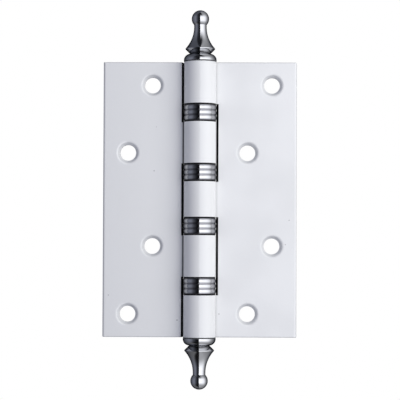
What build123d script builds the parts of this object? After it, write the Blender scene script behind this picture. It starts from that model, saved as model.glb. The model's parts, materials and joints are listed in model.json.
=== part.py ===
from build123d import *

import os
from math import acos, asin, atan2, degrees, radians, sqrt, tan

# Ball bearing butt hinge, laid open flat. Two leaves of rolled steel plate turn on one pin,
# a ribbed ball bearing stands between each pair of knuckles, and a turned finial is screwed
# into each end of the pin.
#
# Millimetres. The pin lies along Z and the origin is on its axis at mid height. The leaves
# spread along X and show their countersunk faces to -Y. The leaf at +X has three knuckles
# and goes on the frame, and the leaf at -X has two and goes on the door.

# Leaves
leaf_reach = 44.0  # pin axis to the free edge
leaf_thickness = 3.0
leaf_offset = 1.25  # pin axis to the countersunk face: half the gap between shut leaves
leaf_edge_round = 0.4  # at the sheared ends
free_edge_round = 1.0  # along the edge that the plate was rolled with

# Barrel, from its ends to the middle
end_knuckle_length = 19.05
door_knuckle_length = 18.75
middle_knuckle_length = 16.0
bearing_height = 8.35  # space between two knuckles, which the bearing's races fill

# Rolled knuckles
swage_radius = 1.5  # inside the reverse bend where the plate leaves the barrel
seam_gap = 0.4  # between the end of the roll and the leaf's face
notch_gap = 1.2  # between a leaf's coped notch and the barrel that turns in it

# Screw holes: two staggered rows on each leaf
screw_hole_diameter = 7.2
countersink_diameter = 9.6  # before its rim is rounded
countersink_angle = 75.0
countersink_rim_round = 1.2
screw_end_margin = 10.5  # from the leaf's end to the first hole
screw_step = 30.8  # from the first hole to the second
inner_row_reach = 21.6  # from the pin axis
outer_row_margin = 11.3  # from the free edge

# Pin
pin_diameter = 8.5
pin_clearance = 0.05  # radial, pin to knuckle
tapped_hole_depth = 9.5
thread_clearance = 0.05  # radial, stud to tapped hole

# Bearings
shell_proud = 0.05  # how far the ribs stand out past the knuckles
shell_end_gap = 0.75  # between the shell and a knuckle
shell_wall = 0.3  # at the bottom of a groove between ribs
shell_lip_thickness = 0.6
shell_lip_reach = 0.9
rib_count = 3
rib_depth = 0.4  # before the grooves between ribs are rounded
rib_groove_round = 0.45
race_pin_clearance = 0.1
race_seat_clearance = 0.02  # radial, the shell on its own race
race_running_clearance = 0.15  # the shell around the race that turns in it
race_shoulder = 0.4  # beside the balls, at each edge of a race
race_collar_recess = 0.2  # from the knuckles in to the collar that fills the space beside the shell
track_share = 0.4  # part of a ball's radius that lies in a race's V-shaped track
ball_count = 8
ball_play = 0.05
cage_edge_gap = 0.1
cage_fill = 0.7  # share of the space between the races that the cage takes up

# Finials
finial_proud = 0.15  # how far the base stands out past the knuckles
finial_land = 0.75
finial_base_round = 0.35  # where the land meets the knuckle
finial_groove_radius = 4.6
finial_cone_rise = 2.3
finial_rim_radius = 6.9  # before its edge is rounded
finial_rim_round = 0.4
finial_flare_height = 10.1
finial_neck_radius = 2.85
finial_neck_length = 0.9
finial_ball_radius = 3.95
stud_diameter = 4.0
stud_length = 8.0

# Sizes that follow
pin_radius = pin_diameter / 2
bore_radius = pin_radius + pin_clearance
barrel_radius = bore_radius + leaf_thickness
notch_radius = barrel_radius + notch_gap
leaf_back = leaf_offset + leaf_thickness
bend_y = leaf_back + swage_radius
bend_x = sqrt((barrel_radius + swage_radius) ** 2 - bend_y**2)
upper_stack = [end_knuckle_length, bearing_height, door_knuckle_length, bearing_height]
stack = upper_stack + [middle_knuckle_length] + upper_stack[::-1]
leaf_height = sum(stack)
stack_tops = [leaf_height / 2 - sum(stack[:i]) for i in range(len(stack))]
knuckles = [(top - length, top) for top, length in zip(stack_tops, stack)][0::2]
bearing_heights = [top - bearing_height / 2 for top in stack_tops[1::2]]


def roll_section():
    """Section of the roll at +X: reverse bend from the plate, then around the pin to the seam."""
    roll_start = degrees(atan2(bend_y, bend_x))
    roll_end = degrees(asin((leaf_offset - seam_gap) / barrel_radius))
    roll_turn = 360 + roll_end - roll_start
    bend_turn = roll_start - 90
    with BuildSketch() as section:
        with BuildLine():
            Line((bend_x, leaf_back), (bend_x, leaf_offset))
            CenterArc((bend_x, bend_y), swage_radius + leaf_thickness, -90, bend_turn)
            CenterArc((bend_x, bend_y), swage_radius, -90, bend_turn)
            inside = CenterArc((0, 0), bore_radius, roll_start, roll_turn)
            outside = CenterArc((0, 0), barrel_radius, roll_start, roll_turn)
            Line(inside @ 1, outside @ 1)
        make_face()
    return section.sketch


def leaf_blank():
    """Leaf at +X before it is cut: flat plate with its outer edges rounded, and a full-height roll."""
    plate = Box(
        leaf_reach - bend_x,
        leaf_thickness,
        leaf_height,
        align=(Align.MIN, Align.MIN, Align.CENTER),
    )
    free_edges = plate.faces().sort_by(Axis.X)[-1].edges().filter_by(Axis.Z)
    plate = fillet(free_edges, free_edge_round)
    end_faces = plate.faces().filter_by(Plane.XY)
    root_edges = plate.faces().sort_by(Axis.X)[0].edges()
    plate = fillet(end_faces.edges() - root_edges, leaf_edge_round)
    return Pos(bend_x, leaf_offset, 0) * plate + extrude(roll_section(), leaf_height / 2, both=True)


def notch(low, high):
    """Cutter that copes a leaf clear of the barrel between two heights."""
    return Pos(0, 0, (low + high) / 2) * Cylinder(notch_radius, high - low)


def screw_hole(x, z):
    """Cutter for a hole through the plate with its countersink on the -Y face."""
    sink_depth = (countersink_diameter - screw_hole_diameter) / 2 / tan(radians(countersink_angle / 2))
    past_both_faces = 3 * leaf_thickness
    through = Cylinder(screw_hole_diameter / 2, past_both_faces)
    sink = Cone(
        screw_hole_diameter / 2,
        countersink_diameter / 2,
        sink_depth,
        align=(Align.CENTER, Align.CENTER, Align.MAX),
    )
    return Pos(x, leaf_offset, z) * Rot(90, 0, 0) * (through + sink)


def leaf(side, own, first_row, second_row):
    """One leaf, at +X for side 1 and at -X for side -1, that keeps the roll at its own knuckles.

    The screw rows are used in turn from the top, at the given distances from the pin axis.
    """
    plate = leaf_blank()
    open_end = leaf_height / 2 + notch_gap
    heights = [open_end] + [z for low, high in own for z in (high, low)] + [-open_end]
    for high, low in zip(heights[0::2], heights[1::2]):
        plate -= notch(low, high)
    first_z = leaf_height / 2 - screw_end_margin
    second_z = first_z - screw_step
    rows = (first_row, second_row, first_row, second_row)
    for x, z in zip(rows, (first_z, second_z, -second_z, -first_z)):
        plate -= screw_hole(x, z)
    rims = plate.edges().filter_by(GeomType.CIRCLE).filter_by(
        lambda edge: abs(edge.radius - countersink_diameter / 2) < 1e-6
    )
    plate = fillet(rims, countersink_rim_round)
    return plate if side > 0 else mirror(plate, about=Plane.YZ)


def pin():
    """Plain pin as long as the barrel, tapped at each end for a finial."""
    rod = Cylinder(pin_radius, leaf_height)
    tapped = Cylinder(stud_diameter / 2 + thread_clearance, tapped_hole_depth)
    for end in (1, -1):
        rod -= Pos(0, 0, end * (leaf_height - tapped_hole_depth) / 2) * tapped
    return rod


def finial():
    """Finial turned in one piece, standing on z = 0 with its stud below."""
    base_radius = barrel_radius + finial_proud
    dome_radius = base_radius - finial_groove_radius
    dome_top = finial_land + dome_radius
    rim_height = dome_top + finial_cone_rise
    neck_low = rim_height + finial_flare_height
    neck_high = neck_low + finial_neck_length
    ball_height = neck_high + sqrt(finial_ball_radius**2 - finial_neck_radius**2)
    ball_start = -degrees(acos(finial_neck_radius / finial_ball_radius))
    stud_radius = stud_diameter / 2
    with BuildPart() as turned:
        with BuildSketch(Plane.XZ) as profile:
            with BuildLine():
                Polyline(
                    (0, ball_height + finial_ball_radius),
                    (0, -stud_length),
                    (stud_radius, -stud_length),
                    (stud_radius, 0),
                    (base_radius, 0),
                    (base_radius, finial_land),
                )
                CenterArc((finial_groove_radius, finial_land), dome_radius, 0, 90)
                Line((finial_groove_radius, dome_top), (finial_rim_radius, rim_height))
                flare = TangentArc(
                    (finial_neck_radius, neck_low), (finial_rim_radius, rim_height), tangent=(0, -1)
                )
                Line(flare @ 0, (finial_neck_radius, neck_high))
                CenterArc((0, ball_height), finial_ball_radius, ball_start, 90 - ball_start)
            make_face()
            fillet(profile.vertices().sort_by_distance((finial_rim_radius, rim_height))[0], finial_rim_round)
            fillet(profile.vertices().sort_by_distance((base_radius, 0))[0], finial_base_round)
        revolve(axis=Axis.Z)
    return turned.part


# Bearing sizes, from the pin out to the ribs and from the middle of the bearing up
shell_radius = barrel_radius + shell_proud
shell_groove_radius = shell_radius - rib_depth
shell_bore = shell_groove_radius - shell_wall
shell_half = bearing_height / 2 - shell_end_gap
lip_inside = shell_half - shell_lip_thickness
lip_radius = shell_bore - shell_lip_reach
race_bore = pin_radius + race_pin_clearance
race_radius = shell_bore - race_running_clearance
hub_radius = lip_radius - race_running_clearance
collar_radius = barrel_radius - race_collar_recess
collar_face = shell_half + race_running_clearance
pitch_radius = (race_bore + race_radius) / 2
ball_radius = (race_radius - race_bore) / 2 - race_shoulder
race_face = ball_radius * (1 - track_share)
track_depth = sqrt(2) * (ball_radius + ball_play)


def bearing_shell():
    """Thin ribbed sleeve, rolled in at both ends over the flanges of the two races."""
    pitch = 2 * shell_half / rib_count
    edges = [shell_half - i * pitch for i in range(rib_count + 1)]
    with BuildPart() as sleeve:
        with BuildSketch(Plane.XZ) as profile:
            with BuildLine():
                for high, low in zip(edges, edges[1:]):
                    ThreePointArc(
                        (shell_groove_radius, high),
                        (shell_radius, (high + low) / 2),
                        (shell_groove_radius, low),
                    )
                Polyline(
                    (shell_groove_radius, -shell_half),
                    (lip_radius, -shell_half),
                    (lip_radius, -lip_inside),
                    (shell_bore, -lip_inside),
                    (shell_bore, lip_inside),
                    (lip_radius, lip_inside),
                    (lip_radius, shell_half),
                    (shell_groove_radius, shell_half),
                )
            make_face()
            for groove in edges[1:-1]:
                corner = profile.vertices().sort_by_distance((shell_groove_radius, groove))[0]
                fillet(corner, rib_groove_round)
        revolve(axis=Axis.Z)
    return sleeve.part


def race(flange_radius, flange_end):
    """Lower race: flange with a right-angled ball track on top, and a collar that stands on the knuckle below."""
    track_half = track_depth - race_face
    with BuildPart() as ring:
        with BuildSketch(Plane.XZ):
            with BuildLine():
                Polyline(
                    (pitch_radius - track_half, -race_face),
                    (pitch_radius, -track_depth),
                    (pitch_radius + track_half, -race_face),
                    (flange_radius, -race_face),
                    (flange_radius, -flange_end),
                    (hub_radius, -flange_end),
                    (hub_radius, -collar_face),
                    (collar_radius, -collar_face),
                    (collar_radius, -bearing_height / 2),
                    (race_bore, -bearing_height / 2),
                    (race_bore, -race_face),
                    close=True,
                )
            make_face()
        revolve(axis=Axis.Z)
    return ring.part


def lower_race():
    """Race that the shell is seated on."""
    return race(shell_bore - race_seat_clearance, lip_inside)


def upper_race():
    """Race that turns inside the shell, clear of its lip."""
    return Rot(180, 0, 0) * race(race_radius, lip_inside - race_running_clearance)


def ball_places():
    """Places of the balls around one bearing."""
    return PolarLocations(pitch_radius, ball_count)


def balls():
    """Set of separate balls."""
    return Compound(children=[place * Sphere(ball_radius) for place in ball_places()])


def cage():
    """Flat ring with a pocket for each ball."""
    thickness = 2 * race_face * cage_fill
    ring = Cylinder(race_radius - cage_edge_gap, thickness)
    ring -= Cylinder(race_bore + cage_edge_gap, thickness)
    for place in ball_places():
        ring -= place * Cylinder(ball_radius + ball_play, thickness)
    return ring


outer_row_reach = leaf_reach - outer_row_margin
nodes = {
    "frame_leaf": leaf(1, knuckles[0::2], outer_row_reach, inner_row_reach),
    "door_leaf": leaf(-1, knuckles[1::2], inner_row_reach, outer_row_reach),
    "hinge_pin": pin(),
    "top_finial": Pos(0, 0, leaf_height / 2) * finial(),
    "bottom_finial": Pos(0, 0, -leaf_height / 2) * Rot(180, 0, 0) * finial(),
}
bearing_pieces = {
    "shell": bearing_shell,
    "upper_race": upper_race,
    "lower_race": lower_race,
    "cage": cage,
    "balls": balls,
}
for number, height in enumerate(bearing_heights, start=1):
    for piece, make in bearing_pieces.items():
        nodes[f"bearing_{number}_{piece}"] = Pos(0, 0, height) * make()

os.makedirs("parts", exist_ok=True)
for name, shape in nodes.items():
    shape.label = name
    export_step(shape, f"parts/{name}.step")
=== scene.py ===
# Finish and stage of a ball bearing butt hinge laid open flat: white enamel on the rolled leaves,
# polished chrome on the finials, ribbed chrome shells in place of the solid model's, and ground steel
# and brass inside the bearings.
#
# Metres, in the frame of the solid model: the pin lies along Z, the leaves spread along X and
# show their countersunk faces to -Y.

import json
from math import cos, pi, radians, sin, sqrt

import bmesh
import bpy
from bpy.props import FloatProperty, FloatVectorProperty, PointerProperty
from mathutils import Matrix, Vector


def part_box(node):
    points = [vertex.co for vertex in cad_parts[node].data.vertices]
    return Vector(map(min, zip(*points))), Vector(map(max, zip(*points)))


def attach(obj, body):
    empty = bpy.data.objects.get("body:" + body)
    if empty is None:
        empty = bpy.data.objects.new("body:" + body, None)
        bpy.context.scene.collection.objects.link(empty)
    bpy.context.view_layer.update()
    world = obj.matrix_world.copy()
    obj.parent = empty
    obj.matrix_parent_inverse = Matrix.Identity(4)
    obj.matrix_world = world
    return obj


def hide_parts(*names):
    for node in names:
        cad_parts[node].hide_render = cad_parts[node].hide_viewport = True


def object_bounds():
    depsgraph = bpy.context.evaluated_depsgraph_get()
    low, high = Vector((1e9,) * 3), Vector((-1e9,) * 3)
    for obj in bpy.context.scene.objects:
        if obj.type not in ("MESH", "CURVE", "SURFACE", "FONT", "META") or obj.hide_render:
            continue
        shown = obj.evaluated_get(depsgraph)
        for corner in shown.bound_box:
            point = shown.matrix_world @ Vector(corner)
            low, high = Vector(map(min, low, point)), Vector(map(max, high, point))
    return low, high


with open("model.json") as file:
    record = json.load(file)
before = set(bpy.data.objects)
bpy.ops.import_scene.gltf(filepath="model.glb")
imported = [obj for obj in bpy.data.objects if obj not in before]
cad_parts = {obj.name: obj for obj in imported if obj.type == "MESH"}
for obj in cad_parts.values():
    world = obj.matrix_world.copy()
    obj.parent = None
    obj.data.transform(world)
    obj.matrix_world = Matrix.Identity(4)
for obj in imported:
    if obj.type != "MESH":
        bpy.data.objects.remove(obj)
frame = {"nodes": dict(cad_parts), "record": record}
CAD_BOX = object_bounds()

bl_info = {
    "name": "Ball Bearing Butt Hinge Finish",
    "version": (1, 0, 0),
    "blender": (4, 5, 0),
    "location": "View3D > Sidebar > Hinge",
    "description": "Enamels the leaves, plates the finials, turns the ribbed shells and sets a studio",
    "category": "Material",
}

# Sizes taken from the solid model
BARREL_RADIUS = -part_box("frame_leaf")[0].y
BARREL_HALF_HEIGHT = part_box("frame_leaf")[1].z
SHELL_HALF_HEIGHT = (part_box("bearing_1_shell")[1].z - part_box("bearing_1_shell")[0].z) / 2
PIN_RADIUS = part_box("hinge_pin")[1].x
LOWEST_POINT = CAD_BOX[0].z

BEARINGS = (1, 2, 3, 4)
MILLIMETRE = 0.001


# Settings

def colour_setting(name, description, default):
    """A colour that a user can pick, in linear light."""
    return FloatVectorProperty(
        name=name, description=description, default=default,
        subtype="COLOR", size=3, min=0.0, max=1.0
    )


def length_setting(name, description, default):
    """A length that a user can change, in metres."""
    return FloatProperty(
        name=name, description=description, default=default,
        subtype="DISTANCE", unit="LENGTH", min=0.0, precision=5
    )


def share_setting(name, description, default):
    """A share from 0 to 1."""
    return FloatProperty(
        name=name, description=description, default=default, subtype="FACTOR", min=0.0, max=1.0
    )


def angle_setting(name, description, degrees):
    """An angle, given here in degrees."""
    return FloatProperty(
        name=name, description=description, default=radians(degrees),
        subtype="ANGLE", unit="ROTATION"
    )


def power_setting(name, description, default):
    """A lamp's power, in watts."""
    return FloatProperty(name=name, description=description, default=default, unit="POWER", min=0.0)


class EnamelSettings(bpy.types.PropertyGroup):
    """Baked enamel on the two leaves."""

    colour: colour_setting("Enamel", "Colour of the enamel", (0.86, 0.865, 0.88))
    roughness: share_setting("Roughness", "Roughness of the enamel, from mirror to matt", 0.14)
    peel_size: length_setting(
        "Peel Size", "Width of the ripples in the sprayed enamel", 1.3 * MILLIMETRE
    )
    peel_height: length_setting(
        "Peel Height", "Height of the ripples in the sprayed enamel", 0.004 * MILLIMETRE
    )
    mottle: share_setting("Mottle", "How much the enamel's tone drifts over a leaf", 0.04)
    # Darker along the sheared ends, and painted shade on rounded edges and in countersinks, where faces
    # turn away from the front.
    dark_edge_and_shade_colour: colour_setting("Thin Enamel", "Colour where the enamel is thin", (0.62, 0.63, 0.65))
    dark_end_width: length_setting(
        "Thin Edge Width", "Width of the thin enamel along the sheared ends", 0.5 * MILLIMETRE
    )
    round_shade_share: share_setting(
        "Thin Rounds", "How thin the enamel is on rounded edges and in countersinks", 0.5
    )
    speck_colour: colour_setting("Speck", "Colour of the specks in the enamel", (0.10, 0.10, 0.11))
    speck_spacing: length_setting(
        "Speck Spacing", "Distance between the specks in the enamel", 9 * MILLIMETRE
    )
    speck_radius: length_setting("Speck Radius", "Size of a speck in the enamel", 0.32 * MILLIMETRE)
    notch_gap: length_setting(
        "Notch Gap", "From the barrel to the coped faces around it", 1.2 * MILLIMETRE
    )
    # Painted shade: the crease beside each knuckle is painted dark where the barrel shades the leaf.
    crease_shade_width: length_setting(
        "Crease Width", "Width of the grimy crease beside each knuckle", 1.2 * MILLIMETRE
    )
    crease_shade_colour: colour_setting(
        "Crease", "Colour of the grime beside each knuckle", (0.03, 0.03, 0.034)
    )
    # Painted shade: the door leaf, on the side away from the softbox, takes much more of the painted
    # crease shade than the frame leaf.
    door_crease_shade: share_setting(
        "Door Leaf Crease", "How far grime fills the door leaf's creases", 0.92
    )
    frame_crease_shade: share_setting(
        "Frame Leaf Crease", "How far grime fills the frame leaf's creases", 0.15
    )
    # Painted shade: the coped faces round the barrel and the knuckles' inner ends are painted near
    # black, standing in for the shade in the narrow gaps.
    gap_shade_colour: colour_setting(
        "Bare Face", "Colour of the coped faces that take no enamel", (0.012, 0.012, 0.014)
    )


class PlatingSettings(bpy.types.PropertyGroup):
    """Polished chrome plate on the finials and bearing shells."""

    colour: colour_setting("Chrome", "Colour of the plate", (0.5, 0.505, 0.518))
    roughness: share_setting("Roughness", "Roughness of the clean plate", 0.05)
    smudge: share_setting("Smudge", "How much rougher the plate is where it was handled", 0.07)
    turning_pitch: length_setting(
        "Turning Pitch", "Between the polished-over lathe marks", 0.5 * MILLIMETRE
    )
    turning_height: length_setting(
        "Turning Height", "Height of the lathe marks", 0.0006 * MILLIMETRE
    )
    edge_tint: colour_setting(
        "Edge Tint", "What the plate keeps of a mirror's sheen at its outline", (0.05, 0.05, 0.06)
    )
    groove_colour: colour_setting(
        "Groove", "Colour of the oil film in the grooves", (0.22, 0.22, 0.235)
    )
    # Painted shade: a near-black matt band at each finial's foot and on the shells' skirts, where the
    # crease and the gaps beside the knuckles are in shade.
    foot_shade_height: length_setting(
        "Crease Height", "Height of the grimy crease at a finial's foot", 0.6 * MILLIMETRE
    )
    crease_shade_colour: colour_setting(
        "Crease", "Colour of the grime on the plate", (0.02, 0.02, 0.022)
    )


class ShellSettings(bpy.types.PropertyGroup):
    """Ribbed shells round the bearings, each turned from one ring."""

    rib_radius: length_setting(
        "Rib Radius", "From the pin's axis to the crest of a rib", 7.44 * MILLIMETRE
    )
    groove_radius: length_setting(
        "Groove Radius", "From the pin's axis to the bottom of a groove", 7.24 * MILLIMETRE
    )
    rib_round: length_setting(
        "Rib Round", "Radius of the arc that a rib's section follows", 2.1 * MILLIMETRE
    )
    bore_radius: length_setting(
        "Bore Radius", "Radius of the room for the races and balls", 6.65 * MILLIMETRE
    )
    lip_radius: length_setting(
        "Lip Radius", "Radius of the openings in the lips at its ends", 5.75 * MILLIMETRE
    )
    lip_thickness: length_setting(
        "Lip Thickness", "Thickness of the lips at its ends", 0.6 * MILLIMETRE
    )
    skirt_reach: length_setting(
        "Skirt Reach", "How far a thin skirt reaches past the ribs", 0.6 * MILLIMETRE
    )
    skirt_wall: length_setting("Skirt Wall", "Thickness of a skirt", 0.1 * MILLIMETRE)


class BearingSettings(bpy.types.PropertyGroup):
    """Ground steel and brass inside the bearings."""

    steel_colour: colour_setting("Steel", "Colour of the pin, races and balls", (0.56, 0.57, 0.58))
    steel_roughness: share_setting("Steel Roughness", "Roughness of the ground steel", 0.24)
    grinding_pitch: length_setting("Grinding Pitch", "Between the grinding marks", 0.12 * MILLIMETRE)
    grinding_height: length_setting(
        "Grinding Height", "Height of the grinding marks", 0.002 * MILLIMETRE
    )
    # Partly grease, partly painted shade: the races and balls are painted near black so the slits
    # beside the shells read dark.
    grease_shade_colour: colour_setting(
        "Grease", "Colour of the grease on the races and balls", (0.012, 0.012, 0.013)
    )
    brass_colour: colour_setting("Brass", "Colour of the ball cages", (0.74, 0.55, 0.24))
    brass_roughness: share_setting("Brass Roughness", "Roughness of the ball cages", 0.34)
    tarnish_colour: colour_setting("Tarnish", "Colour of the tarnish on the brass", (0.36, 0.22, 0.09))


class StageSettings(bpy.types.PropertyGroup):
    """Camera, lights and floor."""

    camera_distance: length_setting(
        "Camera Distance", "From the camera to the middle of the pin", 0.855
    )
    camera_turn: angle_setting(
        "Camera Turn", "How far right of the hinge's front the camera stands", 0.732
    )
    camera_rise: angle_setting(
        "Camera Rise", "How far above the hinge's middle the camera stands", -1.9
    )
    camera_roll: angle_setting(
        "Camera Roll", "Turn of the camera about its own line of sight", 0.224
    )
    camera_lens: FloatProperty(
        name="Lens", description="Focal length in millimetres", min=1.0, default=169.61
    )
    aim_right: length_setting(
        "Aim Right", "Middle of the picture, right of the pin's middle", 0.12 * MILLIMETRE
    )
    aim_below: length_setting(
        "Aim Below", "Middle of the picture, below the pin's middle", 0.287 * MILLIMETRE
    )
    key_distance: length_setting("Key Distance", "From either softbox to the hinge", 0.6)
    key_turn: angle_setting(
        "Key Turn", "How far right of the hinge's front the softbox stands", 45.0
    )
    key_rise: angle_setting("Key Rise", "How far above the hinge both softboxes stand", 10.0)
    key_width: length_setting("Key Width", "Width of either softbox", 0.5)
    key_height: length_setting("Key Height", "Height of either softbox", 0.72)
    key_power: power_setting("Key Power", "Power of the softbox", 3.2)
    key_colour: colour_setting("Key Colour", "Colour of both softboxes' light", (1.0, 1.0, 0.94))
    back_turn: angle_setting(
        "Back Turn", "How far right of the hinge's front the rear softbox stands", 165.0
    )
    back_power: power_setting("Back Power", "Power of the rear softbox", 3.4)
    ambient_left: colour_setting(
        "Ambient Left", "Soft light on the hinge from its left", (0.135, 0.142, 0.165)
    )
    ambient_right: colour_setting(
        "Ambient Right", "Soft light on the hinge from its right", (0.25, 0.26, 0.31)
    )
    ambient_ahead: colour_setting(
        "Ambient Ahead", "Soft light on the hinge from its front", (0.435, 0.445, 0.53)
    )
    floor_colour: colour_setting("Floor", "Colour of the floor", (0.86, 0.86, 0.87))
    floor_drop: length_setting("Floor Drop", "From the lower finial down to the floor", 0.064)
    floor_radius: length_setting("Floor Radius", "Radius of the round floor", 0.5)


class HingeSettings(bpy.types.PropertyGroup):
    """All settings of the hinge's finish and stage."""

    enamel: PointerProperty(type=EnamelSettings)
    plating: PointerProperty(type=PlatingSettings)
    shells: PointerProperty(type=ShellSettings)
    bearings: PointerProperty(type=BearingSettings)
    stage: PointerProperty(type=StageSettings)


# Node building

# A colour Mix node's sockets, which share their names with others
MIX_SHARE, MIX_FIRST, MIX_SECOND = 0, 6, 7
MIX_RESULT = 2


def add_node(tree, kind, inputs=None, **attributes):
    """Add a node, set its attributes, and link or set the inputs that are given by name or number."""
    node = tree.nodes.new(kind)
    for name, value in attributes.items():
        setattr(node, name, value)
    for socket, value in (inputs or {}).items():
        if isinstance(value, bpy.types.NodeSocket):
            tree.links.new(value, node.inputs[socket])
        else:
            node.inputs[socket].default_value = value
    return node


def calculate(tree, operation, *values):
    """The result of a Math node."""
    return add_node(tree, "ShaderNodeMath", dict(enumerate(values)), operation=operation).outputs[0]


def product(tree, first, *others):
    """Several values multiplied together."""
    for other in others:
        first = calculate(tree, "MULTIPLY", first, other)
    return first


def measure(tree, operation, *values):
    """The outputs of a Vector Math node."""
    node = add_node(tree, "ShaderNodeVectorMath", dict(enumerate(values)), operation=operation)
    return node.outputs


def axes(tree, vector):
    """A vector's X, Y and Z."""
    return add_node(tree, "ShaderNodeSeparateXYZ", {0: vector}).outputs


def coordinates(tree):
    """Texture coordinates: Object is a point's place and Normal the way its face looks."""
    return add_node(tree, "ShaderNodeTexCoord").outputs


def ease(tree, value, start, end, low=0.0, high=1.0):
    """A value that goes smoothly from low at start to high at end and stays level beyond them."""
    inputs = {"Value": value, "From Min": start, "From Max": end, "To Min": low, "To Max": high}
    node = add_node(tree, "ShaderNodeMapRange", inputs, interpolation_type="SMOOTHSTEP")
    return node.outputs["Result"]


def mix_colours(tree, share, first, second):
    """The first colour where share is 0 and the second where it is 1."""
    inputs = {MIX_SHARE: share, MIX_FIRST: first, MIX_SECOND: second}
    return add_node(tree, "ShaderNodeMix", inputs, data_type="RGBA").outputs[MIX_RESULT]


def opaque(colour):
    """A colour setting with the alpha that shader sockets want."""
    return (*colour, 1.0)


def toned(colour, brightness):
    """A colour times a brightness, with the alpha that shader sockets want."""
    return opaque([part * brightness for part in colour])


def new_group(name, inputs, outputs):
    """A node group with number sockets of those names: its tree, its inputs and its output node."""
    tree = bpy.data.node_groups.new(name, "ShaderNodeTree")
    for socket, default in inputs.items():
        made = tree.interface.new_socket(socket, in_out="INPUT", socket_type="NodeSocketFloat")
        made.default_value = default
    for socket in outputs:
        tree.interface.new_socket(socket, in_out="OUTPUT", socket_type="NodeSocketFloat")
    return tree, add_node(tree, "NodeGroupInput").outputs, add_node(tree, "NodeGroupOutput")


def use_group(tree, build, inputs=None):
    """Place the group that build makes, made once for the whole file, and give its output sockets."""
    group = bpy.data.node_groups.get(build.group_name) or build()
    return add_node(tree, "ShaderNodeGroup", inputs, node_tree=group).outputs


def feed(tree, node, **inputs):
    """Link sockets to, or set values on, a node's inputs, named with underscores for spaces."""
    for name, value in inputs.items():
        socket = node.inputs[name.replace("_", " ").title()]
        if isinstance(value, bpy.types.NodeSocket):
            tree.links.new(value, socket)
        else:
            socket.default_value = value


# Shared effects

# Cosines between which a face comes to look squarely one way
SQUARE_FROM = 0.6
SQUARE_FULL = 0.85

CLOUD_ROUGHNESS = 0.55
CLOUD_LOW, CLOUD_HIGH = 0.3, 0.7  # the part of the noise that a drift spreads out from 0 to 1
RING_DETAIL = 2.0
RING_ROUGHNESS = 0.6


def barrel_place():
    """Where a point lies about the pin: its radius, and if its face looks at the pin or along it."""
    tree, _, made = new_group(barrel_place.group_name, {}, ("Radius", "Looks In", "Looks Along"))
    surface = coordinates(tree)
    flat = measure(tree, "MULTIPLY", surface["Object"], (1.0, 1.0, 0.0))["Vector"]
    outward = measure(tree, "NORMALIZE", flat)["Vector"]
    facing = measure(tree, "DOT_PRODUCT", outward, surface["Normal"])["Value"]
    upright = calculate(tree, "ABSOLUTE", axes(tree, surface["Normal"])["Z"])
    feed(
        tree, made, radius=measure(tree, "LENGTH", flat)["Value"],
        looks_in=ease(tree, facing, -SQUARE_FROM, -SQUARE_FULL),
        looks_along=ease(tree, upright, SQUARE_FROM, SQUARE_FULL)
    )
    return tree


def dust_specks():
    """Sparse round specks: 1 in a speck and 0 elsewhere."""
    sizes = {"Spacing": 10 * MILLIMETRE, "Size": 0.3 * MILLIMETRE}
    tree, given, made = new_group(dust_specks.group_name, sizes, ("Mask",))
    spot = coordinates(tree)["Object"]
    per_metre = calculate(tree, "DIVIDE", 1.0, given["Spacing"])
    cells = add_node(tree, "ShaderNodeTexVoronoi", {"Vector": spot, "Scale": per_metre})
    distance = calculate(tree, "MULTIPLY", cells.outputs["Distance"], given["Spacing"])
    core = calculate(tree, "MULTIPLY", given["Size"], 0.5)
    feed(tree, made, mask=ease(tree, distance, given["Size"], core))
    return tree


def soft_drift():
    """A slow drift between 0 and 1, for smudges and mottled tone."""
    sizes = {"Size": 20 * MILLIMETRE, "Detail": 3.0}
    tree, given, made = new_group(soft_drift.group_name, sizes, ("Drift",))
    inputs = {
        "Vector": coordinates(tree)["Object"],
        "Scale": calculate(tree, "DIVIDE", 1.0, given["Size"]),
        "Detail": given["Detail"],
        "Roughness": CLOUD_ROUGHNESS,
    }
    clouds = add_node(tree, "ShaderNodeTexNoise", inputs).outputs[0]
    feed(tree, made, drift=ease(tree, clouds, CLOUD_LOW, CLOUD_HIGH))
    return tree


def turning_marks():
    """Rings cut about the pin's axis: lines along the height of a barrel, and circles on its ends."""
    sizes = {"Pitch": 0.2 * MILLIMETRE, "Depth": 0.001 * MILLIMETRE}
    tree, given, made = new_group(turning_marks.group_name, sizes, ("Height", "Streak"))
    height = axes(tree, coordinates(tree)["Object"])["Z"]
    along = calculate(tree, "ADD", height, use_group(tree, barrel_place)["Radius"])
    turns = calculate(tree, "DIVIDE", along, given["Pitch"])
    inputs = {"W": turns, "Scale": 1.0, "Detail": RING_DETAIL, "Roughness": RING_ROUGHNESS}
    cuts = add_node(tree, "ShaderNodeTexNoise", inputs, noise_dimensions="1D").outputs[0]
    feed(tree, made, height=calculate(tree, "MULTIPLY", cuts, given["Depth"]), streak=cuts)
    return tree


barrel_place.group_name = "Barrel Place"
dust_specks.group_name = "Dust Specks"
soft_drift.group_name = "Soft Drift"
turning_marks.group_name = "Turning Marks"


def drift(tree, size, detail):
    """A drift between 0 and 1 in patches of that size."""
    return use_group(tree, soft_drift, {"Size": size, "Detail": detail})["Drift"]


def specks(tree, spacing, radius):
    """A mask of round specks."""
    return use_group(tree, dust_specks, {"Spacing": spacing, "Size": radius})["Mask"]


def lathe_rings(tree, pitch, height):
    """The height and the streaks of rings about the pin."""
    return use_group(tree, turning_marks, {"Pitch": pitch, "Depth": height})


# Finishes

MATT = 0.9  # roughness of the painted shade in creases and gaps, and of the grease

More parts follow.
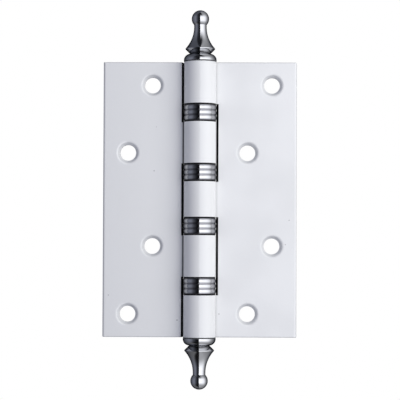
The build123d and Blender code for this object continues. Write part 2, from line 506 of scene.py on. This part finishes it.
TONE_PATCH = 30 * MILLIMETRE
TONE_DETAIL = 2.0
PEEL_DETAIL = 1.0
GLOSS_DRIFT = 0.04  # how far the enamel's roughness drifts with its tone
ROUND_FROM, ROUND_FULL = -0.95, -0.75  # Y of a face's normal where an edge starts to round and has done
BACK_FROM, BACK_FULL = 0.2, 0.6  # Y of a face's normal where it starts to look back and has done
COPE_SLACK = 0.2 * MILLIMETRE  # how far off a coped or sawn face still counts as on it
CREASE_FROM, CREASE_FULL = 0.3 * MILLIMETRE, 0.8 * MILLIMETRE  # how far behind the pin's axis
LEAF_BLEND = 1 * MILLIMETRE  # either side of the pin, where one leaf's painted crease shade changes to the other's

SMUDGE_PATCH = 5 * MILLIMETRE
SMUDGE_DETAIL = 4.0
SMUDGE_TONE = 0.94
PIT_SPACING = 2.5 * MILLIMETRE
PIT_RADIUS = 0.12 * MILLIMETRE
OIL_FROM, OIL_FULL = 0.35, 0.9  # shares of a groove's depth
OIL_ROUGHNESS = 0.12

FILM_PATCH = 3 * MILLIMETRE
FILM_DETAIL = 3.0
STREAK_TONE = 0.7
STEEL_DRIFT = 0.08  # how far the steel's roughness drifts
GREASE_FROM, GREASE_FULL = 0.2 * MILLIMETRE, 0.6 * MILLIMETRE  # how far off the pin

TARNISH_PATCH = 2.5 * MILLIMETRE
TARNISH_DETAIL = 5.0
BRIGHT_BRASS = 0.1  # how much smoother clean brass is
DULL_BRASS = 0.15  # how much rougher tarnished brass is


def new_material(name):
    """A material with only a Principled BSDF and its output: the material, its tree and the shader."""
    material = bpy.data.materials.new(name)
    material.use_nodes = True
    tree = material.node_tree
    tree.nodes.clear()
    shader = add_node(tree, "ShaderNodeBsdfPrincipled")
    add_node(tree, "ShaderNodeOutputMaterial", {"Surface": shader.outputs["BSDF"]})
    return material, tree, shader


def raised(tree, height):
    """A surface normal bent by a height in metres."""
    inputs = {"Strength": 1.0, "Distance": 1.0, "Height": height}
    return add_node(tree, "ShaderNodeBump", inputs).outputs["Normal"]


def dark_ends_and_round_shade(tree, enamel, radius, height, backward):
    """Darker along the sheared ends, and painted shade by a share on rounds and in countersinks, whose
    faces turn away from the front.
    """
    notch = BARREL_RADIUS + enamel.notch_gap
    sheared = ease(tree, height, BARREL_HALF_HEIGHT - enamel.dark_end_width, BARREL_HALF_HEIGHT)
    # painted shade on rounds and in countersinks, by how far a face turns from the front
    turned = ease(tree, backward, ROUND_FROM, ROUND_FULL, 0.0, enamel.round_shade_share)
    off_barrel = ease(tree, radius, notch, notch + enamel.notch_gap)
    off_back = ease(tree, backward, BACK_FULL, BACK_FROM)
    return calculate(tree, "MAXIMUM", sheared, product(tree, turned, off_barrel, off_back))


def gap_shade_places(tree, enamel, place, height):
    """Painted shade: near black on the coped faces round the barrel and on the knuckles' inner sawn
    ends, where the narrow gaps are in shade.
    """
    notch = BARREL_RADIUS + enamel.notch_gap
    sawn_from = BARREL_HALF_HEIGHT - COPE_SLACK
    near = ease(tree, place["Radius"], notch + COPE_SLACK, notch + COPE_SLACK / 2)
    inside = ease(tree, height, sawn_from, sawn_from - COPE_SLACK)
    sawn = calculate(tree, "MULTIPLY", place["Looks Along"], inside)
    uncoated = calculate(tree, "MAXIMUM", place["Looks In"], sawn)
    return calculate(tree, "MULTIPLY", near, uncoated)


def crease_shade_places(tree, enamel, radius, spot, backward):
    """Painted shade: where the crease between a knuckle and its leaf is painted dark on the front, far
    darker on the door leaf, which the barrel shades from the softbox, than on the frame leaf.
    """
    off_barrel = calculate(tree, "SUBTRACT", radius, BARREL_RADIUS)
    close = ease(tree, off_barrel, enamel.crease_shade_width, enamel.crease_shade_width / 3)
    behind = ease(tree, spot["Y"], CREASE_FROM, CREASE_FULL)
    frontal = ease(tree, backward, -SQUARE_FROM, -SQUARE_FULL)
    door, other = enamel.door_crease_shade, enamel.frame_crease_shade
    filled = ease(tree, spot["X"], -LEAF_BLEND, LEAF_BLEND, door, other)
    return product(tree, close, behind, frontal, filled)


def white_enamel(enamel):
    """Sprayed and baked enamel: faint peel, drifting tone and sparse specks, darker along its sheared
    ends, with painted shade on its rounds and in its countersinks, near-black painted shade on the
    coped faces round the barrel, and painted shade in the creases beside the knuckles."""
    material, tree, shader = new_material("White Enamel")
    place = use_group(tree, barrel_place)
    surface = coordinates(tree)
    spot = axes(tree, surface["Object"])
    backward = axes(tree, surface["Normal"])["Y"]
    height = calculate(tree, "ABSOLUTE", spot["Z"])
    tone = drift(tree, TONE_PATCH, TONE_DETAIL)
    ripple = drift(tree, enamel.peel_size, PEEL_DETAIL)
    dust = specks(tree, enamel.speck_spacing, enamel.speck_radius)
    thin = dark_ends_and_round_shade(tree, enamel, place["Radius"], height, backward)
    gap_shade = gap_shade_places(tree, enamel, place, height)
    crease = crease_shade_places(tree, enamel, place["Radius"], spot, backward)

    drifted = toned(enamel.colour, 1.0 - enamel.mottle)
    colour = mix_colours(tree, tone, opaque(enamel.colour), drifted)
    # darker sheared ends, and painted shade on rounds and in countersinks
    colour = mix_colours(tree, thin, colour, opaque(enamel.dark_edge_and_shade_colour))
    colour = mix_colours(tree, dust, colour, opaque(enamel.speck_colour))
    # painted shade in the creases beside the knuckles
    colour = mix_colours(tree, crease, colour, opaque(enamel.crease_shade_colour))
    # painted shade, near black, on the coped faces and the knuckles' inner ends
    colour = mix_colours(tree, gap_shade, colour, opaque(enamel.gap_shade_colour))
    low = enamel.roughness - GLOSS_DRIFT
    gloss = ease(tree, tone, 0.0, 1.0, low, enamel.roughness + GLOSS_DRIFT)
    dull = calculate(tree, "MAXIMUM", gap_shade, crease)
    rough = calculate(tree, "MAXIMUM", gloss, calculate(tree, "MULTIPLY", dull, MATT))
    peel = calculate(tree, "MULTIPLY", ripple, enamel.peel_height)
    feed(tree, shader, base_color=colour, metallic=gap_shade, roughness=rough, normal=raised(tree, peel))
    return material


def polished_chrome(name, plating, shells=None):
    """Turned, polished and plated metal with faint lathe marks, smudges and pits. A shell has oil in
    its grooves and near-black painted shade on its skirts, and a finial has painted shade in the crease
    at its foot."""
    material, tree, shader = new_material(name)
    smudge = drift(tree, SMUDGE_PATCH, SMUDGE_DETAIL)
    marks = lathe_rings(tree, plating.turning_pitch, plating.turning_height)
    pits = specks(tree, PIT_SPACING, PIT_RADIUS)
    dulled = toned(plating.colour, SMUDGE_TONE)
    colour = mix_colours(tree, smudge, opaque(plating.colour), dulled)
    colour = mix_colours(tree, pits, colour, opaque(plating.groove_colour))
    rough = ease(tree, smudge, 0.0, 1.0, plating.roughness, plating.roughness + plating.smudge)
    height = calculate(tree, "ABSOLUTE", axes(tree, coordinates(tree)["Object"])["Z"])
    if shells:
        radius = use_group(tree, barrel_place)["Radius"]
        depth = shells.rib_radius - shells.groove_radius
        oil_top = shells.rib_radius - OIL_FROM * depth
        oil = ease(tree, radius, oil_top, shells.rib_radius - OIL_FULL * depth)
        colour = mix_colours(tree, oil, colour, opaque(plating.groove_colour))
        rough = calculate(tree, "ADD", rough, calculate(tree, "MULTIPLY", oil, OIL_ROUGHNESS))
        # painted shade on the skirts, in the gaps beside the knuckles
        painted_shade = ease(tree, height, SHELL_HALF_HEIGHT - shells.skirt_wall, SHELL_HALF_HEIGHT)
    else:
        # painted shade in the crease at the finial's foot
        above = calculate(tree, "SUBTRACT", height, BARREL_HALF_HEIGHT)
        painted_shade = ease(tree, above, plating.foot_shade_height, plating.foot_shade_height / 2)
    colour = mix_colours(tree, painted_shade, colour, opaque(plating.crease_shade_colour))
    rough = calculate(tree, "MAXIMUM", rough, calculate(tree, "MULTIPLY", painted_shade, MATT))
    feed(
        tree, shader, base_color=colour, metallic=calculate(tree, "SUBTRACT", 1.0, painted_shade),
        roughness=rough, normal=raised(tree, marks["Height"]),
        specular_tint=opaque(plating.edge_tint)
    )
    return material


def ground_steel(bearings):
    """Ground bearing steel with fine rings, clean on the pin; in the bearings, near-black grease that
    is partly painted shade for the dark slits beside the shells.
    """
    material, tree, shader = new_material("Ground Steel")
    film = drift(tree, FILM_PATCH, FILM_DETAIL)
    marks = lathe_rings(tree, bearings.grinding_pitch, bearings.grinding_height)
    dark = toned(bearings.steel_colour, STREAK_TONE)
    colour = mix_colours(tree, marks["Streak"], opaque(bearings.steel_colour), dark)
    off_pin = calculate(tree, "SUBTRACT", use_group(tree, barrel_place)["Radius"], PIN_RADIUS)
    # near-black grease off the pin, partly painted shade for the slits beside the shells
    grease_shade = ease(tree, off_pin, GREASE_FROM, GREASE_FULL)
    colour = mix_colours(tree, grease_shade, colour, opaque(bearings.grease_shade_colour))
    low = bearings.steel_roughness - STEEL_DRIFT
    rough = ease(tree, film, 0.0, 1.0, low, bearings.steel_roughness + STEEL_DRIFT)
    rough = calculate(tree, "MAXIMUM", rough, calculate(tree, "MULTIPLY", grease_shade, MATT))
    feed(
        tree, shader, base_color=colour, metallic=calculate(tree, "SUBTRACT", 1.0, grease_shade),
        roughness=rough, normal=raised(tree, marks["Height"])
    )
    return material


def cage_brass(bearings):
    """Stamped brass with turning rings and patches of tarnish."""
    material, tree, shader = new_material("Cage Brass")
    tarnish = drift(tree, TARNISH_PATCH, TARNISH_DETAIL)
    marks = lathe_rings(tree, bearings.grinding_pitch, bearings.grinding_height)
    stained = opaque(bearings.tarnish_colour)
    colour = mix_colours(tree, tarnish, opaque(bearings.brass_colour), stained)
    low = bearings.brass_roughness - BRIGHT_BRASS
    rough = ease(tree, tarnish, 0.0, 1.0, low, bearings.brass_roughness + DULL_BRASS)
    feed(
        tree, shader, base_color=colour, metallic=1.0, roughness=rough,
        normal=raised(tree, marks["Height"])
    )
    return material


def dress(nodes, material):
    """Give a finish to nodes of the solid model."""
    for name in nodes:
        slots = frame["nodes"][name].material_slots
        if not slots:
            raise RuntimeError(f"{name} has no material slot to take its finish")
        for slot in slots:
            slot.material = material


def link_to_scene(thing):
    """Put a new object in the scene."""
    bpy.context.scene.collection.objects.link(thing)
    return thing


# Bearing shells

RIB_COUNT = 3
RIB_STEPS = 16  # points round the section of a rib
SHELL_STEPS = 96  # points round the pin
CREASE_ANGLE = radians(50)  # edges sharper than this stay sharp


def ribbed_outline(shells):
    """The ribs' outline as radius and height from the shell's middle, from the lowest rib up."""
    pitch = 2 * SHELL_HALF_HEIGHT / RIB_COUNT
    outline = []
    for rib in range(RIB_COUNT):
        crest = (rib + 0.5) * pitch - SHELL_HALF_HEIGHT
        for step in range(RIB_STEPS):
            off = ((step + 0.5) / RIB_STEPS - 0.5) * pitch
            sag = shells.rib_round - sqrt(shells.rib_round**2 - off**2)
            outline.append((max(shells.rib_radius - sag, shells.groove_radius), crest + off))
    return outline


def shell_section(shells):
    """The closed section of a shell: ribs between two thin skirts, and a bore between two lips."""
    end = SHELL_HALF_HEIGHT + shells.skirt_reach
    seat = SHELL_HALF_HEIGHT - shells.lip_thickness
    skirt_bore = shells.groove_radius - shells.skirt_wall
    upper = [
        (shells.groove_radius, SHELL_HALF_HEIGHT),
        (shells.groove_radius, end),
        (skirt_bore, end),
        (skirt_bore, SHELL_HALF_HEIGHT),
        (shells.lip_radius, SHELL_HALF_HEIGHT),
        (shells.lip_radius, seat),
        (shells.bore_radius, seat),
    ]
    lower = [(radius, -height) for radius, height in reversed(upper)]
    return ribbed_outline(shells) + upper + lower


def turned_ring(name, section):
    """A smooth mesh that is a closed section turned about the pin."""
    ring = bmesh.new()
    rows = []
    for step in range(SHELL_STEPS):
        turn = 2 * pi * step / SHELL_STEPS
        points = [(radius * cos(turn), radius * sin(turn), height) for radius, height in section]
        rows.append([ring.verts.new(point) for point in points])
    for row, following in zip(rows, rows[1:] + rows[:1]):
        for i in range(len(section)):
            ring.faces.new((row[i - 1], following[i - 1], following[i], row[i]))
    bmesh.ops.recalc_face_normals(ring, faces=ring.faces)
    for face in ring.faces:
        face.smooth = True
    mesh = bpy.data.meshes.new(name)
    ring.to_mesh(mesh)
    ring.free()
    mesh.set_sharp_from_angle(angle=CREASE_ANGLE)
    return mesh


def add_shell(node, section, material):
    """Turn a shell from its section, in place of that node of the solid model."""
    low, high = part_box(node)
    name = f"{node}_ribbed"
    mesh = turned_ring(name, section)
    mesh.materials.append(material)
    piece = link_to_scene(bpy.data.objects.new(name, mesh))
    piece.location.z = (low.z + high.z) / 2
    bodies = frame["record"]["behaviour"]["bodies"]
    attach(piece, next(body for body, nodes in bodies.items() if node in nodes))
    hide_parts(node)


# Stage

# What polished metal sees round the studio, as azimuth from the hinge's front in degrees, right
# positive, and brightness. Level with the hinge: a grey wall on the left, the dark room behind the
# camera, and the softbox from straight ahead round to the right, where it fades. Overhead and
# underfoot the softbox is dimmer.
LEVEL_STOPS = (
    (-180, 0.03), (-135, 0.12), (-105, 0.22), (-75, 0.34), (-60, 0.3), (-48, 0.15), (-38, 0.09),
    (-28, 0.045), (-19, 0.013), (-1.6, 0.01), (-0.4, 2.55), (5, 2.5), (20, 2.2), (40, 2.15),
    (60, 1.9), (78, 1.45), (92, 0.8), (112, 0.4), (140, 0.16), (180, 0.03)
)
OVERHEAD_STOPS = (
    (-180, 0.155), (-60, 0.13), (-45, 0.025), (25, 0.025), (45, 0.53), (70, 0.58), (120, 0.47),
    (180, 0.26)
)
UNDERFOOT_STOPS = (
    (-180, 0.12), (-110, 0.2), (-82, 0.22), (-66, 0.06), (-50, 0.012), (-6, 0.012), (4, 0.69),
    (60, 0.65), (90, 0.53), (130, 0.42), (180, 0.26)
)
LEVEL_TO = radians(16)  # height to which only the level stops count
STEEP_FROM = radians(62)  # height from which only the other stops count
PANEL_TINT = (0.98, 0.99, 1.03)
ROOM_TINT = (0.91, 0.96, 1.17)
CARPET_TINT = (0.98, 0.985, 1.03)
DARKEST_PANEL = 0.38  # stops below this are room, not lit panel
WHITE = (1.0, 1.0, 1.0)

FLOOR_PATCH = 0.1
FLOOR_DETAIL = 2.0
FLOOR_TONE = 0.98
FLOOR_ROUGHNESS = 0.8
FADE_FROM, FADE_END = 0.35, 0.98  # shares of the floor's radius
FLOOR_STEPS = 96


def towards(turn, rise):
    """The direction from the hinge to what stands that far right of its front and above it."""
    return Vector((sin(turn) * cos(rise), -cos(turn) * cos(rise), sin(rise)))


def add_camera(stage):
    """The camera, a little right of the hinge's front and a little below its middle."""
    back = towards(stage.camera_turn, stage.camera_rise)
    level = Vector((cos(stage.camera_turn), sin(stage.camera_turn), 0.0))
    plumb = back.cross(level)
    right = cos(stage.camera_roll) * level + sin(stage.camera_roll) * plumb
    up = cos(stage.camera_roll) * plumb - sin(stage.camera_roll) * level
    data = bpy.data.cameras.new("Camera")
    data.lens = stage.camera_lens
    camera = link_to_scene(bpy.data.objects.new("Camera", data))
    place = back * stage.camera_distance + right * stage.aim_right - up * stage.aim_below
    attitude = Matrix((right, up, back)).transposed().to_4x4()
    camera.matrix_world = Matrix.Translation(place) @ attitude
    bpy.context.scene.camera = camera


def add_softbox(name, turn, rise, stage, power):
    """A large soft lamp that faces the hinge, and that neither the camera nor the chrome sees."""
    data = bpy.data.lights.new(name, "AREA")
    data.shape = "RECTANGLE"
    data.size = stage.key_width
    data.size_y = stage.key_height
    data.energy = power
    data.color = stage.key_colour
    lamp = link_to_scene(bpy.data.objects.new(name, data))
    outward = towards(turn, rise)
    attitude = outward.to_track_quat("Z", "Y").to_matrix().to_4x4()
    lamp.matrix_world = Matrix.Translation(outward * stage.key_distance) @ attitude
    lamp.visible_camera = False
    lamp.visible_glossy = False


def azimuth_ramp(tree, azimuth, stops, room_tint):
    """A grey that changes with the azimuth, through those stops."""
    node = add_node(tree, "ShaderNodeValToRGB", {"Fac": azimuth})
    elements = node.color_ramp.elements
    while len(elements) < len(stops):
        elements.new(0.5)
    for element, (angle, grey) in zip(elements, stops):
        element.position = angle / 360 + 0.5
        element.color = toned(room_tint if grey < DARKEST_PANEL else PANEL_TINT, grey)
    return node.outputs["Color"]


def add_world(stage):
    """White to the camera, a soft light to matt surfaces, and the studio round about to shiny ones."""
    world = bpy.data.worlds.new("Studio")
    bpy.context.scene.world = world
    world.use_nodes = True
    tree = world.node_tree
    tree.nodes.clear()
    axis = axes(tree, coordinates(tree)["Generated"])
    front = calculate(tree, "MULTIPLY", axis["Y"], -1.0)
    turn = calculate(tree, "ARCTAN2", axis["X"], front)
    azimuth = calculate(tree, "MULTIPLY_ADD", turn, 0.5 / pi, 0.5)
    level = azimuth_ramp(tree, azimuth, LEVEL_STOPS, ROOM_TINT)
    overhead = azimuth_ramp(tree, azimuth, OVERHEAD_STOPS, ROOM_TINT)
    underfoot = azimuth_ramp(tree, azimuth, UNDERFOOT_STOPS, CARPET_TINT)
    far_up = calculate(tree, "GREATER_THAN", axis["Z"], 0.0)
    steep = ease(tree, calculate(tree, "ABSOLUTE", axis["Z"]), sin(LEVEL_TO), sin(STEEP_FROM))
    studio = mix_colours(tree, steep, level, mix_colours(tree, far_up, underfoot, overhead))
    path = add_node(tree, "ShaderNodeLightPath").outputs
    rightward = calculate(tree, "MULTIPLY_ADD", axis["X"], 0.5, 0.5)
    left, right = opaque(stage.ambient_left), opaque(stage.ambient_right)
    beside = mix_colours(tree, rightward, left, right)
    ahead = calculate(tree, "MAXIMUM", front, 0.0)
    ambient = mix_colours(tree, ahead, beside, opaque(stage.ambient_ahead))
    light = mix_colours(tree, path["Is Glossy Ray"], ambient, studio)
    seen = mix_colours(tree, path["Is Camera Ray"], light, opaque(WHITE))
    background = add_node(tree, "ShaderNodeBackground", {"Color": seen, "Strength": 1.0})
    add_node(tree, "ShaderNodeOutputWorld", {"Surface": background.outputs["Background"]})


def pale_floor(stage):
    """Matt pale paint that fades out towards the floor's rim."""
    material, tree, shader = new_material("Pale Floor")
    radius = measure(tree, "LENGTH", coordinates(tree)["Object"])["Value"]
    worn = drift(tree, FLOOR_PATCH, FLOOR_DETAIL)
    darker = toned(stage.floor_colour, FLOOR_TONE)
    colour = mix_colours(tree, worn, opaque(stage.floor_colour), darker)
    fade = ease(tree, radius, stage.floor_radius * FADE_END, stage.floor_radius * FADE_FROM)
    feed(tree, shader, base_color=colour, roughness=FLOOR_ROUGHNESS, alpha=fade)
    return material


def add_floor(stage):
    """A round floor below the hinge."""
    mesh = bpy.data.meshes.new("Floor")
    disc = bmesh.new()
    bmesh.ops.create_circle(disc, cap_ends=True, segments=FLOOR_STEPS, radius=stage.floor_radius)
    disc.to_mesh(mesh)
    disc.free()
    mesh.materials.append(pale_floor(stage))
    floor = link_to_scene(bpy.data.objects.new("Floor", mesh))
    floor.location.z = LOWEST_POINT - stage.floor_drop
    floor.visible_glossy = False
    floor.visible_diffuse = False


# Operators

class PaintLeaves(bpy.types.Operator):
    """Enamel the two leaves, with near-black painted shade on their coped faces"""

    bl_idname = "hinge.paint_leaves"
    bl_label = "Paint the Leaves"

    def execute(self, context):
        dress(("frame_leaf", "door_leaf"), white_enamel(context.scene.hinge.enamel))
        return {"FINISHED"}


class PlateFinials(bpy.types.Operator):
    """Chrome plate the two finials"""

    bl_idname = "hinge.plate_finials"
    bl_label = "Plate the Finials"

    def execute(self, context):
        chrome = polished_chrome("Finial Chrome", context.scene.hinge.plating)
        dress(("top_finial", "bottom_finial"), chrome)
        return {"FINISHED"}


class TurnShells(bpy.types.Operator):
    """Turn and chrome plate the four ribbed bearing shells"""

    bl_idname = "hinge.turn_shells"
    bl_label = "Turn the Bearing Shells"

    def execute(self, context):
        hinge = context.scene.hinge
        chrome = polished_chrome("Ribbed Chrome", hinge.plating, hinge.shells)
        section = shell_section(hinge.shells)
        for n in BEARINGS:
            add_shell(f"bearing_{n}_shell", section, chrome)
        return {"FINISHED"}


class GrindSteel(bpy.types.Operator):
    """Grind the pin and the races and balls of each bearing"""

    bl_idname = "hinge.grind_steel"
    bl_label = "Grind the Pin, Races and Balls"

    def execute(self, context):
        steel = ground_steel(context.scene.hinge.bearings)
        pieces = ("upper_race", "lower_race", "balls")
        dress(["hinge_pin"] + [f"bearing_{n}_{piece}" for n in BEARINGS for piece in pieces], steel)
        return {"FINISHED"}


class FinishCages(bpy.types.Operator):
    """Give the ball cages their tarnished brass"""

    bl_idname = "hinge.finish_cages"
    bl_label = "Finish the Ball Cages"

    def execute(self, context):
        dress([f"bearing_{n}_cage" for n in BEARINGS], cage_brass(context.scene.hinge.bearings))
        return {"FINISHED"}


class SetStage(bpy.types.Operator):
    """Set up the camera, lights and floor"""

    bl_idname = "hinge.set_stage"
    bl_label = "Set the Stage"

    def execute(self, context):
        stage = context.scene.hinge.stage
        context.scene.view_settings.view_transform = "Standard"
        add_camera(stage)
        add_softbox("Key Softbox", stage.key_turn, stage.key_rise, stage, stage.key_power)
        add_softbox("Back Softbox", stage.back_turn, stage.key_rise, stage, stage.back_power)
        add_world(stage)
        add_floor(stage)
        return {"FINISHED"}


STEPS = (PaintLeaves, PlateFinials, TurnShells, GrindSteel, FinishCages, SetStage)


class HingePanel(bpy.types.Panel):
    """Settings and steps of the hinge's finish."""

    bl_idname = "VIEW3D_PT_hinge"
    bl_label = "Butt Hinge"
    bl_space_type = "VIEW_3D"
    bl_region_type = "UI"
    bl_category = "Hinge"

    def draw(self, context):
        hinge = context.scene.hinge
        for part in (hinge.enamel, hinge.plating, hinge.shells, hinge.bearings, hinge.stage):
            box = self.layout.box()
            for setting in part.__annotations__:
                box.prop(part, setting)
        for step in STEPS:
            self.layout.operator(step.bl_idname)


CLASSES = (
    EnamelSettings, PlatingSettings, ShellSettings, BearingSettings, StageSettings, HingeSettings,
    *STEPS, HingePanel
)


def register():
    """Register the classes and attach the settings to the scene."""
    for cls in CLASSES:
        bpy.utils.register_class(cls)
    bpy.types.Scene.hinge = PointerProperty(type=HingeSettings)


def unregister():
    """Take the settings and classes out again."""
    del bpy.types.Scene.hinge
    for cls in reversed(CLASSES):
        bpy.utils.unregister_class(cls)


def main():
    """Finish the hinge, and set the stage."""
    register()
    bpy.ops.hinge.paint_leaves()
    bpy.ops.hinge.plate_finials()
    bpy.ops.hinge.turn_shells()
    bpy.ops.hinge.grind_steel()
    bpy.ops.hinge.finish_cages()
    bpy.ops.hinge.set_stage()


if __name__ == "__main__":
    main()
